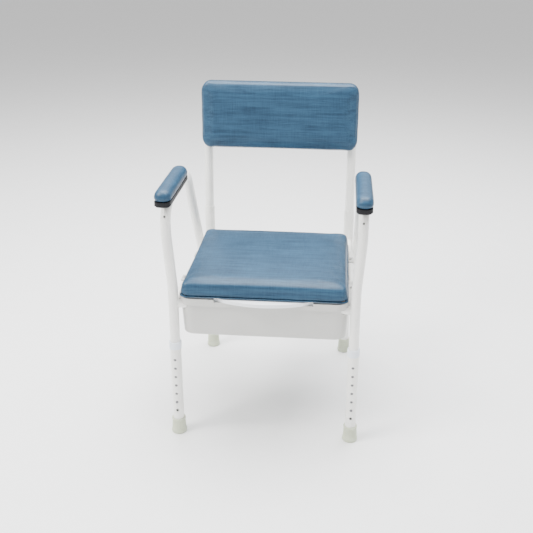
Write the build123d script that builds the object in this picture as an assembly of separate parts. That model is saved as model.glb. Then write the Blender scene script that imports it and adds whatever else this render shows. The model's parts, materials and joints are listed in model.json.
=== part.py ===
from build123d import *

import os
from math import radians, tan

os.makedirs("parts", exist_ok=True)

# A commode chair: a bent steel tube frame with telescopic legs, a padded lid over a toilet
# seat, a plastic apron round a sliding pan, two arm pads and a padded backrest.
# Millimetres. +Z is up, the chair faces -Y, and left and right are as seen from the front.
# Y is laid out from the seat and moved by Y_CENTRE when a node is written, which puts the
# origin on the floor under the middle of the chair.

Y_CENTRE = -1.78

# Frame tubes
TUBE_R = 12.7
TUBE_WALL = 1.5
FRONT_X = 229.0
FRONT_Y = -230.0
REAR_X = 211.0
REAR_Y = 232.0
INNER_TUBE_Z = 78.0
FLARE_LOW_Z = 430.0
FLARE_HIGH_Z = 570.0
FLARE_R = 200.0
ARM_X = 239.0
ARM_Z = 642.0
ARM_FRONT_R = 50.0
ARM_BACK_Y = 39.0
ARM_BACK_R = 55.0
STAY_SLOPE = 0.61
STAY_FOOT_R = 70.0
STAY_FOOT_Z = 304.0
WEB_HEIGHT = 22.0
WELD_GAP = 1.6
REAR_TUBE_TOP_Z = 400.0
PLUG_HOLE_R = 2.8
PLUG_HOLE_Z = 617.0

# Screws, bolts and their holes
SCREW_R = 2.1
SCREW_HOLE_R = 2.3
SCREW_HEAD_R = 4.4
SCREW_HEAD = 2.4
SCREW_RECESS_R = 1.1
SCREW_RECESS = 1.2
WOOD_SCREW_R = 1.8
WOOD_SCREW_HEAD_R = 3.8
WOOD_SCREW_LENGTH = 6.0
BOLT_R = 3.0
BOLT_HOLE_R = 3.1
BOLT_HEAD_R = 5.0
BOLT_HEAD = 2.6
BOLT_SOCKET_R = 1.8
HOLE_CLEARANCE = 0.1

# Reach of a boring rod past the wall that it goes through
BORE_REACH = 20.0
COPE_REACH = 40.0

# Seat rails
RAIL_Z = 381.0
CROSS_RAIL_R = 11.1
SIDE_RAIL_R = 9.5
HINGE_RAIL_R = 9.0
RAIL_WALL = 1.5
FRONT_RAIL_Y = -226.0
HINGE_RAIL_Y = 162.0

# Telescopic legs
LEG_R = 14.3
LEG_BORE_R = 13.0
LEG_LOW_Z = 5.0
LEG_HIGH_Z = 270.0
HOLE_PITCH = 25.4
HOLE_COUNT = 7
HOLE_TOP_Z = 224.6
LEG_HOLE_R = 3.8
COLLAR_LOW_Z = 255.0
COLLAR_HIGH_Z = 275.0
COLLAR_R = 16.0
COLLAR_BORE_R = 12.9
TIP_HIGH_Z = 44.0
TIP_FOOT_R = 20.0
TIP_R = 16.6
TIP_RING_R = 17.6
TIP_GROOVES = 5
TIP_GROOVE = 1.4
TIP_GROOVE_LOW_Z = 14.5
TIP_GROOVE_PITCH = 4.6

# Snap buttons, engaged in the sixth hole from the top
BUTTON_HOLE = 5
BUTTON_R = 3.6
BUTTON_OUT = 16.4
BUTTON_FLANGE_R = 5.2
BUTTON_FLANGE = (8.0, 9.6)
TUBE_HOLE_R = 3.75
SPRING_WIDTH = 8.0
SPRING_GAUGE = 0.6
SPRING_BEND_R = 6.2
SPRING_LEG = 26.0

# Backrest
SLEEVE_R = 14.6
SLEEVE_BORE_R = 12.8
SLEEVE_LOW_Z = 352.0
SLEEVE_HIGH_Z = 480.0
BACK_BEND_Z = 490.0
BACK_BEND_R = 120.0
BACK_TOP_Z = 830.0
BACK_TOP_R = 60.0
RECLINE = 4.0
BACK_PAD_HALF = 228.0
BACK_PAD_LOW = 171.0
BACK_PAD_HIGH = 371.0
BACK_PAD_FRONT = 45.7
BACK_PAD_CORNER_R = 26.0
BACK_BOARD = 8.0
BACK_BOARD_INSET = 12.0
BACK_PAD_EDGE_R = 10.0
BACK_SCREW_HEIGHTS = (215.0, 318.0)
BACK_SCREW_BITE = 6.0
BOLT_Z = 432.0

# Apron
APRON_FRONT_Y = -243.0
APRON_REAR_Y = 140.0
APRON_FRONT_HALF = 214.0
APRON_REAR_HALF = 199.0
APRON_CORNER_R = 36.0
APRON_WALL = 3.0
APRON_DRAFT = 5.0
APRON_LOW_Z = 302.0
RIM_LOW_Z = 386.0
RIM_HIGH_Z = 404.0
RIM_OUT = 4.5
LEDGE_Z = 397.0
LEDGE_WIDTH = 13.0
LUG_Y = (-100.0, 60.0)
LUG_HALF = 16.0
LUG_GAUGE = 3.0

# Toilet seat
SEAT_HIGH_Z = 406.0
SEAT_REAR_Y = 118.0
SEAT_GAP = 0.6
LIP_Y = -266.0
LIP_CHORD = 240.0
LIP_SAGITTA = 28.0
OPENING_HALF = (114.0, 142.0)
OPENING_Y = -62.0
OPENING_EDGE_R = 3.5
STUD_Y = (-150.0, 80.0)
STUD_R = 2.9
STUD_HEAD_R = 5.0
STUD_HEAD = 2.0
STUD_LENGTH = 4.5

# Lid
LID_Z = 410.0
LID_TOP_Z = 455.0
LID_HALF = 214.0
LID_FRONT_Y = -251.0
LID_REAR_Y = 140.0
LID_CORNER_R = 16.0
LID_EDGE_R = 12.0
BOARD = 8.0
BOARD_INSET = 12.0
HINGE_Y = 151.0
HINGE_Z = 411.0
HINGE_X = 140.0
PIN_R = 3.0
EAR_R = 7.0
EAR_GAUGE = 3.0
EAR_GAP = 8.0
KNUCKLE_R = 6.0
LEAF_GAUGE = 2.0
KNUCKLE_HALF = 7.5
LEAF_HALF = 18.0
LEAF_FRONT_Y = 92.0
LEAF_REAR_Y = 134.0
PIN_HEAD_R = 4.8
PIN_HEAD = 2.0
BUFFER_R = 7.0
BUFFER_PLACES = ((-176.0, -180.0), (176.0, -180.0), (-172.0, 70.0), (172.0, 70.0))

# Pan and its runners
PAN_RIM_HALF = 182.0
PAN_FRONT_Y = -182.0
PAN_REAR_Y = 162.0
PAN_RIM_Z = 360.0
PAN_RIM = 3.0
PAN_BODY_INSET = 18.0
PAN_LOW_Z = 264.0
PAN_DRAFT = 16.0
PAN_WALL = 2.5
PAN_CORNER_R = 42.0
GRIP_HALF = 48.0
GRIP_SLOT_HALF = 32.0
GRIP_REACH = 36.0
RUNNER_IN = 168.0
RUNNER_OUT = 186.0
RUNNER_GAUGE = 2.0
RUNNER_GAP = 0.6

# Arm pads
ARM_PAD_FRONT_Y = -266.0
ARM_PAD_REAR_Y = -28.0
ARM_PAD_HALF = 22.0
ARM_BASE_LOW_Z = 648.0
ARM_PAD_LOW_Z = 661.0
ARM_PAD_HIGH_Z = 690.0
ARM_PAD_CORNER_R = 17.0
ARM_PAD_EDGE_R = 10.0
ARM_BASE_INSET = 2.0
ARM_SCREW_Y = (-160.0, -60.0)

LEGS = {
    "front_left": (-FRONT_X, FRONT_Y, -1),
    "front_right": (FRONT_X, FRONT_Y, -1),
    "rear_left": (-REAR_X, REAR_Y, 1),
    "rear_right": (REAR_X, REAR_Y, 1),
}
SIDES = (("left", -1), ("right", 1))


def save(name, shape):
    """Write one node in the chair's frame."""
    export_step(Pos(0, Y_CENTRE, 0) * shape, f"parts/{name}.step")


def group(shapes):
    """Separate solids of one node, such as a set of screws."""
    return Compound([solid for shape in shapes for solid in shape.solids()])


def on_side(shape, side):
    """A shape made for the right side, or its mirror image for the left."""
    return shape if side > 0 else mirror(shape, about=Plane.YZ)


def rod(start, end, radius):
    """A solid round bar between two points."""
    span = Vector(*end) - Vector(*start)
    return extrude(Plane(origin=start, z_dir=span) * Circle(radius), amount=span.length)


def tube(start, end, radius, wall):
    """A straight tube between two points."""
    return rod(start, end, radius) - rod(start, end, radius - wall)


def block(x_span, y_span, z_span):
    """A box from its three spans."""
    size = [high - low for low, high in (x_span, y_span, z_span)]
    middle = [(high + low) / 2 for low, high in (x_span, y_span, z_span)]
    return Pos(*middle) * Box(*size)


def bent_tube(points, radii, radius, wall):
    """A tube along straight runs joined by tangent arcs."""
    path = FilletPolyline(*points, radius=radii)
    plane = Plane(origin=path @ 0, z_dir=path % 0)
    return sweep(plane * (Circle(radius) - Circle(radius - wall)), path=path)


def soft_block(x_span, y_span, z_span, corner_r, edge_r):
    """A plain padded block with rounded corners and a rounded top."""
    pad = block(x_span, y_span, z_span)
    pad = fillet(pad.edges().filter_by(Axis.Z), corner_r)
    return fillet(pad.faces().sort_by(Axis.Z)[-1].edges(), edge_r)


def seat_rail_x(y):
    """Centre of the right seat rail, which narrows towards the rear."""
    return FRONT_X + (REAR_X - FRONT_X) * (y - FRONT_Y) / (REAR_Y - FRONT_Y)


# ---------------------------------------------------------------- frame

def side_tube():
    """Front leg, arm and rear stay, bent from one tube, with the web that joins the rear leg."""
    stay_x = REAR_X + 2 * TUBE_R + WELD_GAP
    stay_y = REAR_Y
    stay_z = ARM_Z - (stay_y - ARM_BACK_Y) / STAY_SLOPE
    points = [
        (FRONT_X, FRONT_Y, INNER_TUBE_Z),
        (FRONT_X, FRONT_Y, FLARE_LOW_Z),
        (ARM_X, FRONT_Y, FLARE_HIGH_Z),
        (ARM_X, FRONT_Y, ARM_Z),
        (ARM_X, ARM_BACK_Y, ARM_Z),
        (stay_x, stay_y, stay_z),
        (stay_x, stay_y, STAY_FOOT_Z),
    ]
    radii = [FLARE_R, FLARE_R, ARM_FRONT_R, ARM_BACK_R, STAY_FOOT_R]
    body = bent_tube(points, radii, TUBE_R, TUBE_WALL)
    web_top = STAY_FOOT_Z + WEB_HEIGHT
    web = block((REAR_X + 9.0, REAR_X + 17.0), (REAR_Y - 8.0, REAR_Y + 5.0), (STAY_FOOT_Z, web_top))
    web -= rod((REAR_X, REAR_Y, STAY_FOOT_Z), (REAR_X, REAR_Y, web_top), TUBE_R)
    web -= rod((stay_x, REAR_Y, STAY_FOOT_Z), (stay_x, REAR_Y, web_top), TUBE_R - TUBE_WALL / 2)
    body += web
    button_z = HOLE_TOP_Z - BUTTON_HOLE * HOLE_PITCH
    body -= rod((FRONT_X, FRONT_Y, button_z), (FRONT_X, FRONT_Y - BORE_REACH, button_z), TUBE_HOLE_R)
    body -= rod((ARM_X, FRONT_Y, PLUG_HOLE_Z), (ARM_X, FRONT_Y - BORE_REACH, PLUG_HOLE_Z), PLUG_HOLE_R)
    for y in ARM_SCREW_Y:
        body -= rod((ARM_X, y, ARM_Z - BORE_REACH), (ARM_X, y, ARM_Z + BORE_REACH), SCREW_HOLE_R)
    return body


def rear_tube():
    """The fixed tube of a rear leg."""
    body = tube((REAR_X, REAR_Y, INNER_TUBE_Z), (REAR_X, REAR_Y, REAR_TUBE_TOP_Z), TUBE_R, TUBE_WALL)
    button_z = HOLE_TOP_Z - BUTTON_HOLE * HOLE_PITCH
    return body - rod((REAR_X, REAR_Y, button_z), (REAR_X, REAR_Y + BORE_REACH, button_z), TUBE_HOLE_R)


def backrest_sleeve():
    """Sleeve welded round the rear leg's top, which takes the backrest tube."""
    body = rod((REAR_X, REAR_Y, SLEEVE_LOW_Z), (REAR_X, REAR_Y, SLEEVE_HIGH_Z), SLEEVE_R)
    body -= rod((REAR_X, REAR_Y, SLEEVE_LOW_Z), (REAR_X, REAR_Y, REAR_TUBE_TOP_Z), TUBE_R)
    body -= rod((REAR_X, REAR_Y, REAR_TUBE_TOP_Z), (REAR_X, REAR_Y, SLEEVE_HIGH_Z), SLEEVE_BORE_R)
    return body - rod((REAR_X, REAR_Y, BOLT_Z), (REAR_X, REAR_Y + BORE_REACH, BOLT_Z), BOLT_HOLE_R)


def cross_rail(y, radius, end_x, end_y, end_r):
    """A rail across the chair, coped to the posts or rails at its two ends."""
    body = tube((-end_x, y, RAIL_Z), (end_x, y, RAIL_Z), radius, RAIL_WALL)
    for side in (-1, 1):
        start = (side * end_x, end_y, RAIL_Z - COPE_REACH)
        body -= rod(start, (side * end_x, end_y, RAIL_Z + COPE_REACH), end_r)
    return body.solids().sort_by(SortBy.VOLUME)[-1]


def seat_rail():
    """Side rail from the front leg to the rear sleeve."""
    body = tube((FRONT_X, FRONT_Y, RAIL_Z), (REAR_X, REAR_Y, RAIL_Z), SIDE_RAIL_R, RAIL_WALL)
    for x, y, radius in ((FRONT_X, FRONT_Y, TUBE_R), (REAR_X, REAR_Y, SLEEVE_R)):
        body -= rod((x, y, RAIL_Z - COPE_REACH), (x, y, RAIL_Z + COPE_REACH), radius)
    body -= rod((0, FRONT_RAIL_Y, RAIL_Z), (FRONT_X, FRONT_RAIL_Y, RAIL_Z), CROSS_RAIL_R)
    for y in LUG_Y:
        x = seat_rail_x(y)
        body -= rod((x, y, RAIL_Z), (x, y, RAIL_Z + BORE_REACH), SCREW_R + HOLE_CLEARANCE)
    return body.solids().sort_by(SortBy.VOLUME)[-1]


def hinge_rail():
    """Rail behind the pan that carries the lid hinges, coped to the side rails."""
    reach = seat_rail_x(HINGE_RAIL_Y)
    body = tube((-reach, HINGE_RAIL_Y, RAIL_Z), (reach, HINGE_RAIL_Y, RAIL_Z), HINGE_RAIL_R, RAIL_WALL)
    for side in (-1, 1):
        start = (side * FRONT_X, FRONT_Y, RAIL_Z)
        end = (side * REAR_X, REAR_Y, RAIL_Z)
        body -= rod(start, end, SIDE_RAIL_R)
    return body.solids().sort_by(SortBy.VOLUME)[-1]


# ---------------------------------------------------------------- arms

def arm_base():
    """Moulded base that saddles the arm tube under its pad."""
    spans_x = (ARM_X - ARM_PAD_HALF + ARM_BASE_INSET, ARM_X + ARM_PAD_HALF - ARM_BASE_INSET)
    spans_y = (ARM_PAD_FRONT_Y + ARM_BASE_INSET, ARM_PAD_REAR_Y - ARM_BASE_INSET)
    base = block(spans_x, spans_y, (ARM_BASE_LOW_Z, ARM_PAD_LOW_Z))
    base = fillet(base.edges().filter_by(Axis.Z), ARM_PAD_CORNER_R - ARM_BASE_INSET)
    base = chamfer(base.faces().sort_by(Axis.Z)[0].edges(), 3.0)
    front_straight = FRONT_Y + ARM_FRONT_R
    base -= rod((ARM_X, front_straight, ARM_Z), (ARM_X, ARM_PAD_REAR_Y + 10.0, ARM_Z), TUBE_R)
    bend = Plane(origin=(ARM_X, front_straight, ARM_Z - ARM_FRONT_R), z_dir=(1, 0, 0))
    base -= bend * Torus(ARM_FRONT_R, TUBE_R)
    for y in ARM_SCREW_Y:
        base -= rod((ARM_X, y, ARM_Z), (ARM_X, y, ARM_PAD_LOW_Z - 1.0), SCREW_R + HOLE_CLEARANCE)
    return base


def arm_pad():
    """The soft pad of an arm, as a plain rounded block."""
    spans_x = (ARM_X - ARM_PAD_HALF, ARM_X + ARM_PAD_HALF)
    spans_y = (ARM_PAD_FRONT_Y, ARM_PAD_REAR_Y)
    return soft_block(spans_x, spans_y, (ARM_PAD_LOW_Z, ARM_PAD_HIGH_Z), ARM_PAD_CORNER_R, ARM_PAD_EDGE_R)


def arm_screws():
    """Pan-head screws from under the arm tubes into the pad bases."""
    screws = []
    for y in ARM_SCREW_Y:
        under = ARM_Z - TUBE_R
        recess_z = under - SCREW_HEAD + SCREW_RECESS
        screw = rod((ARM_X, y, under - SCREW_HEAD), (ARM_X, y, under + 0.6), SCREW_HEAD_R)
        screw -= rod((ARM_X, y - SCREW_HEAD_R, ARM_Z), (ARM_X, y + SCREW_HEAD_R, ARM_Z), TUBE_R)
        screw -= rod((ARM_X, y, under - SCREW_HEAD), (ARM_X, y, recess_z), SCREW_RECESS_R)
        screw += rod((ARM_X, y, recess_z), (ARM_X, y, ARM_PAD_LOW_Z - 2.0), SCREW_R)
        screws += [screw, mirror(screw, about=Plane.YZ)]
    return group(screws)


# ---------------------------------------------------------------- apron and toilet seat

def apron_half(y, grow):
    """Half width of the apron's plan at a depth."""
    share = (y - APRON_FRONT_Y) / (APRON_REAR_Y - APRON_FRONT_Y)
    return APRON_FRONT_HALF + grow + (APRON_REAR_HALF - APRON_FRONT_HALF) * share


def apron_plan(grow, rear_y, z):
    """The apron's plan with two round front corners, grown outwards."""
    front_y = APRON_FRONT_Y - grow
    outline = Polyline(
        (-apron_half(front_y, grow), front_y),
        (apron_half(front_y, grow), front_y),
        (apron_half(rear_y, grow), rear_y),
        (-apron_half(rear_y, grow), rear_y),
        close=True,
    )
    plan = make_face(outline)
    plan = fillet(plan.vertices().sort_by(Axis.Y)[:2], APRON_CORNER_R + grow)
    return Pos(0, 0, z) * plan


def rail_screw(y):
    """The screw that holds an apron lug to the right seat rail."""
    x = seat_rail_x(y)
    top = RAIL_Z + SIDE_RAIL_R
    head = rod((x, y, top + LUG_GAUGE), (x, y, top + LUG_GAUGE + SCREW_HEAD), SCREW_HEAD_R)
    return head + rod((x, y, top - 6.0), (x, y, top + LUG_GAUGE), SCREW_R)


def apron():
    """Plastic skirt round the pan, open below and behind, with a rim, a ledge and four lugs."""
    past_rear = APRON_REAR_Y + 60.0
    body = loft([apron_plan(-APRON_DRAFT, APRON_REAR_Y, APRON_LOW_Z), apron_plan(0, APRON_REAR_Y, RIM_LOW_Z)])
    body += extrude(apron_plan(RIM_OUT, APRON_REAR_Y, RIM_LOW_Z), amount=RIM_HIGH_Z - RIM_LOW_Z)
    hollow = loft([
        apron_plan(-APRON_DRAFT - APRON_WALL, past_rear, APRON_LOW_Z),
        apron_plan(-APRON_WALL, past_rear, RIM_LOW_Z),
    ])
    hollow += extrude(apron_plan(-APRON_WALL, past_rear, RIM_LOW_Z), amount=RIM_HIGH_Z - RIM_LOW_Z)
    body -= hollow
    lip = extrude(apron_plan(-APRON_DRAFT - 1.0, APRON_REAR_Y, APRON_LOW_Z), amount=APRON_WALL)
    lip -= extrude(apron_plan(-APRON_DRAFT - 12.0, past_rear, APRON_LOW_Z), amount=APRON_WALL)
    body += lip
    ledge = extrude(apron_plan(0, APRON_REAR_Y, LEDGE_Z - APRON_WALL), amount=APRON_WALL)
    ledge_hole = apron_plan(-LEDGE_WIDTH - APRON_WALL, past_rear, LEDGE_Z - APRON_WALL)
    ledge -= extrude(ledge_hole, amount=APRON_WALL)
    body += ledge
    lug_z = RAIL_Z + SIDE_RAIL_R
    for y in LUG_Y:
        for side in (-1, 1):
            inner = side * (apron_half(y, 0) - 1.0)
            outer = side * (seat_rail_x(y) + 9.0)
            spans = tuple(sorted((inner, outer)))
            lug = block(spans, (y - LUG_HALF, y + LUG_HALF), (lug_z, lug_z + LUG_GAUGE))
            body += lug
            x = side * seat_rail_x(y)
            body -= rod((x, y, lug_z), (x, y, lug_z + LUG_GAUGE), SCREW_HOLE_R)
    body -= rod((-FRONT_X, FRONT_RAIL_Y, RAIL_Z), (FRONT_X, FRONT_RAIL_Y, RAIL_Z), CROSS_RAIL_R + 1.5)
    half_cut = LIP_CHORD / 2 + 4.0
    body -= block((-half_cut, half_cut), (LIP_Y, FRONT_RAIL_Y), (LEDGE_Z, RIM_HIGH_Z))
    for x, y in stud_places():
        body -= rod((x, y, LEDGE_Z - APRON_WALL), (x, y, LEDGE_Z), STUD_R + 2 * HOLE_CLEARANCE)
    return body


def apron_screws():
    """The four screws through the apron's lugs into the seat rails."""
    screws = []
    for y in LUG_Y:
        x = seat_rail_x(y)
        top = RAIL_Z + SIDE_RAIL_R + LUG_GAUGE + SCREW_HEAD
        screw = rail_screw(y) - rod((x, y, top - SCREW_RECESS), (x, y, top), SCREW_RECESS_R)
        screws += [screw, mirror(screw, about=Plane.YZ)]
    return group(screws)


def stud_places():
    """Where the toilet seat's studs go through the apron's ledge."""
    middle = APRON_WALL + LEDGE_WIDTH / 2 + 0.5
    return [
        (side * (apron_half(y, 0) - middle), y)
        for y in STUD_Y
        for side in (-1, 1)
    ]


def toilet_seat():
    """Ring-shaped plastic seat that lies in the apron's rim, with a front lip."""
    height = SEAT_HIGH_Z - LEDGE_Z
    plan = apron_plan(-APRON_WALL - SEAT_GAP, SEAT_REAR_Y, LEDGE_Z)
    body = extrude(plan, amount=height)
    lip_r = ((LIP_CHORD / 2) ** 2 + LIP_SAGITTA ** 2) / (2 * LIP_SAGITTA)
    disc = rod((0, LIP_Y + lip_r, LEDGE_Z), (0, LIP_Y + lip_r, SEAT_HIGH_Z), lip_r)
    half = LIP_CHORD / 2
    body += disc & block((-half, half), (LIP_Y - 5.0, LIP_Y + 60.0), (LEDGE_Z, SEAT_HIGH_Z))
    hole = Pos(0, OPENING_Y, LEDGE_Z) * Ellipse(*OPENING_HALF)
    body -= extrude(hole, amount=height)
    body = fillet(body.edges().filter_by(GeomType.ELLIPSE).sort_by(Axis.Z)[-1], OPENING_EDGE_R)
    for x, y in stud_places():
        body -= rod((x, y, LEDGE_Z), (x, y, LEDGE_Z + STUD_LENGTH + 0.5), STUD_R + HOLE_CLEARANCE)
    return body


def toilet_seat_studs():
    """Push-in studs from under the ledge into the toilet seat."""
    studs = []
    for x, y in stud_places():
        under = LEDGE_Z - APRON_WALL
        stud = rod((x, y, under - STUD_HEAD), (x, y, under), STUD_HEAD_R)
        studs.append(stud + rod((x, y, under), (x, y, LEDGE_Z + STUD_LENGTH), STUD_R))
    return group(studs)


# ---------------------------------------------------------------- lid

def seat_board():
    """Plywood board inside the lid."""
    spans_x = (-LID_HALF + BOARD_INSET, LID_HALF - BOARD_INSET)
    spans_y = (LID_FRONT_Y + BOARD_INSET, LID_REAR_Y - BOARD_INSET)
    board = block(spans_x, spans_y, (LID_Z, LID_Z + BOARD))
    board = fillet(board.edges().filter_by(Axis.Z), 8.0)
    for side in (-1, 1):
        for x, y in leaf_screw_places(side):
            hole_z = LID_Z + WOOD_SCREW_LENGTH + 0.5
            board -= rod((x, y, LID_Z), (x, y, hole_z), WOOD_SCREW_R + HOLE_CLEARANCE)
    return board


def seat_cushion():
    """The lid's padding, as a plain rounded block wrapped round the board's edge."""
    spans_y = (LID_FRONT_Y, LID_REAR_Y)
    pad = soft_block((-LID_HALF, LID_HALF), spans_y, (LID_Z + 1.0, LID_TOP_Z), LID_CORNER_R, LID_EDGE_R)
    spans_x = (-LID_HALF + BOARD_INSET, LID_HALF - BOARD_INSET)
    spans_y = (LID_FRONT_Y + BOARD_INSET, LID_REAR_Y - BOARD_INSET)
    return pad - block(spans_x, spans_y, (LID_Z, LID_Z + BOARD))


def leaf_screw_places(side):
    """Screw centres of one hinge leaf."""
    return [(side * HINGE_X + dx, LEAF_FRONT_Y + dy) for dx in (-11.0, 11.0) for dy in (8.0, 24.0)]


def hinge_leaf(side):
    """Leaf under the board with a knuckle on the hinge pin."""
    x = side * HINGE_X
    low = LID_Z - LEAF_GAUGE
    knuckle = (x - KNUCKLE_HALF, x + KNUCKLE_HALF)
    leaf = block((x - LEAF_HALF, x + LEAF_HALF), (LEAF_FRONT_Y, LEAF_REAR_Y), (low, LID_Z))
    leaf += block(knuckle, (LEAF_REAR_Y - 4.0, HINGE_Y), (low, LID_Z))
    leaf += rod((knuckle[0], HINGE_Y, HINGE_Z), (knuckle[1], HINGE_Y, HINGE_Z), KNUCKLE_R)
    leaf -= rod((knuckle[0], HINGE_Y, HINGE_Z), (knuckle[1], HINGE_Y, HINGE_Z), PIN_R + 0.08)
    for sx, sy in leaf_screw_places(side):
        wide, narrow = WOOD_SCREW_HEAD_R + HOLE_CLEARANCE, WOOD_SCREW_R + HOLE_CLEARANCE
        leaf -= Pos(sx, sy, low + LEAF_GAUGE / 2) * Cone(wide, narrow, LEAF_GAUGE)
    return leaf


def lid_screws():
    """Countersunk screws through the leaves into the board."""
    screws = []
    low = LID_Z - LEAF_GAUGE
    for side in (-1, 1):
        for x, y in leaf_screw_places(side):
            screw = Pos(x, y, low + LEAF_GAUGE / 2) * Cone(WOOD_SCREW_HEAD_R, WOOD_SCREW_R, LEAF_GAUGE)
            screw += rod((x, y, LID_Z), (x, y, LID_Z + WOOD_SCREW_LENGTH), WOOD_SCREW_R)
            screws.append(screw)
    return group(screws)


def lid_buffers():
    """Rubber buffers under the board, which rest on the toilet seat."""
    return group([rod((x, y, SEAT_HIGH_Z), (x, y, LID_Z), BUFFER_R) for x, y in BUFFER_PLACES])


def hinge_bracket(side):
    """Two ears on a saddle welded to the hinge rail."""
    x = side * HINGE_X
    bracket = block((x - 11.0, x + 11.0), (HINGE_RAIL_Y - 9.0, HINGE_RAIL_Y + 7.0), (386.0, 393.0))
    profile = make_face(Polyline(
        (HINGE_RAIL_Y - 9.0, 382.0),
        (HINGE_RAIL_Y + 8.0, 382.0),
        (HINGE_Y + EAR_R, HINGE_Z),
        (HINGE_Y - EAR_R, HINGE_Z),
        close=True,
    ))
    for sign in (-1, 1):
        near = x + sign * (EAR_GAP + EAR_GAUGE / 2)
        ear_plane = Plane(origin=(near, 0, 0), x_dir=(0, 1, 0), z_dir=(1, 0, 0))
        bracket += extrude(ear_plane * profile, amount=EAR_GAUGE / 2, both=True)
        start = (near - EAR_GAUGE / 2, HINGE_Y, HINGE_Z)
        bracket += rod(start, (near + EAR_GAUGE / 2, HINGE_Y, HINGE_Z), EAR_R)
    for y, z, radius in ((HINGE_RAIL_Y, RAIL_Z, HINGE_RAIL_R), (HINGE_Y, HINGE_Z, PIN_R + 0.04)):
        bracket -= rod((x - BORE_REACH, y, z), (x + BORE_REACH, y, z), radius)
    return bracket


def hinge_pins():
    """Headed pins across the two hinges."""
    pins = []
    reach = EAR_GAP + EAR_GAUGE
    for side in (-1, 1):
        x = side * HINGE_X
        pin = rod((x - reach, HINGE_Y, HINGE_Z), (x + reach, HINGE_Y, HINGE_Z), PIN_R)
        for sign in (-1, 1):
            face = x + sign * reach
            pin += rod((face, HINGE_Y, HINGE_Z), (face + sign * PIN_HEAD, HINGE_Y, HINGE_Z), PIN_HEAD_R)
        pins.append(pin)
    return group(pins)


# ---------------------------------------------------------------- pan

def pan_plan(inset, z, corner_r):
    """Rounded rectangle inside the pan's rim."""
    width = 2 * (PAN_RIM_HALF - inset)
    depth = PAN_REAR_Y - PAN_FRONT_Y - 2 * inset
    return Pos(0, (PAN_REAR_Y + PAN_FRONT_Y) / 2, z) * RectangleRounded(width, depth, corner_r)


def pan():
    """Open pan with a flat rim that runs in the channels, and a grip at the rear."""
    top = PAN_RIM_Z + PAN_RIM
    body = extrude(pan_plan(0, PAN_RIM_Z, 12.0), amount=PAN_RIM)
    low_inset = PAN_BODY_INSET + PAN_DRAFT
    low_r = PAN_CORNER_R - 8.0
    body += loft([pan_plan(low_inset, PAN_LOW_Z, low_r), pan_plan(PAN_BODY_INSET, PAN_RIM_Z, PAN_CORNER_R)])
    body -= loft([
        pan_plan(low_inset + PAN_WALL, PAN_LOW_Z + PAN_WALL, low_r - PAN_WALL),
        pan_plan(PAN_BODY_INSET + PAN_WALL, top, PAN_CORNER_R - PAN_WALL),
    ])
    reach_y = PAN_REAR_Y + GRIP_REACH
    grip = block((-GRIP_HALF, GRIP_HALF), (PAN_REAR_Y - 4.0, reach_y), (PAN_RIM_Z, top))
    grip += block((-GRIP_HALF, GRIP_HALF), (reach_y - PAN_RIM, reach_y), (PAN_RIM_Z - 13.0, top))
    slot = block((-GRIP_SLOT_HALF, GRIP_SLOT_HALF), (PAN_REAR_Y + 8.0, reach_y - 12.0), (PAN_RIM_Z, top))
    return body + (grip - slot)


def pan_runner():
    """Channel that carries the pan's rim, hung from the front rail and the hinge rail."""
    front_y = FRONT_RAIL_Y + 5.0
    rear_y = HINGE_RAIL_Y + 9.0
    slot_low = PAN_RIM_Z - RUNNER_GAP
    slot_high = PAN_RIM_Z + PAN_RIM + RUNNER_GAP
    z_span = (slot_low - RUNNER_GAUGE, slot_high + RUNNER_GAUGE)
    body = block((RUNNER_IN, RUNNER_OUT), (front_y, rear_y), z_span)
    body -= block((RUNNER_IN - 1.0, RUNNER_OUT - RUNNER_GAUGE), (front_y, rear_y), (slot_low, slot_high))
    hanger_x = (RUNNER_IN + 3.0, RUNNER_OUT - 3.0)
    hangers = block(hanger_x, (front_y, front_y + 14.0), (slot_high, RAIL_Z - 6.0))
    hangers += block(hanger_x, (rear_y - 18.0, rear_y), (slot_high, RAIL_Z - 4.0))
    for y, radius in ((FRONT_RAIL_Y, CROSS_RAIL_R), (HINGE_RAIL_Y, HINGE_RAIL_R)):
        hangers -= rod((RUNNER_IN, y, RAIL_Z), (RUNNER_OUT, y, RAIL_Z), radius)
    return body + hangers


# ---------------------------------------------------------------- backrest

def reclined(shape):
    """Turn a shape from the backrest's own upright frame to its recline."""
    return Pos(0, REAR_Y, BACK_BEND_Z) * Rot(-RECLINE, 0, 0) * shape


def backrest_tube():
    """The backrest's hoop, which plugs into the two sleeves."""
    top_y = REAR_Y + (BACK_TOP_Z - BACK_BEND_Z) * tan(radians(RECLINE))
    points = [
        (-REAR_X, REAR_Y, REAR_TUBE_TOP_Z),
        (-REAR_X, REAR_Y, BACK_BEND_Z),
        (-REAR_X, top_y, BACK_TOP_Z),
        (REAR_X, top_y, BACK_TOP_Z),
        (REAR_X, REAR_Y, BACK_BEND_Z),
        (REAR_X, REAR_Y, REAR_TUBE_TOP_Z),
    ]
    radii = [BACK_BEND_R, BACK_TOP_R, BACK_TOP_R, BACK_BEND_R]
    body = bent_tube(points, radii, TUBE_R, TUBE_WALL)
    for side in (-1, 1):
        x = side * REAR_X
        body -= rod((x, REAR_Y, BOLT_Z), (x, REAR_Y + BORE_REACH, BOLT_Z), BOLT_HOLE_R)
        for height in BACK_SCREW_HEIGHTS:
            body -= reclined(rod((x, -BORE_REACH, height), (x, BORE_REACH, height), SCREW_HOLE_R))
    return body


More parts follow.
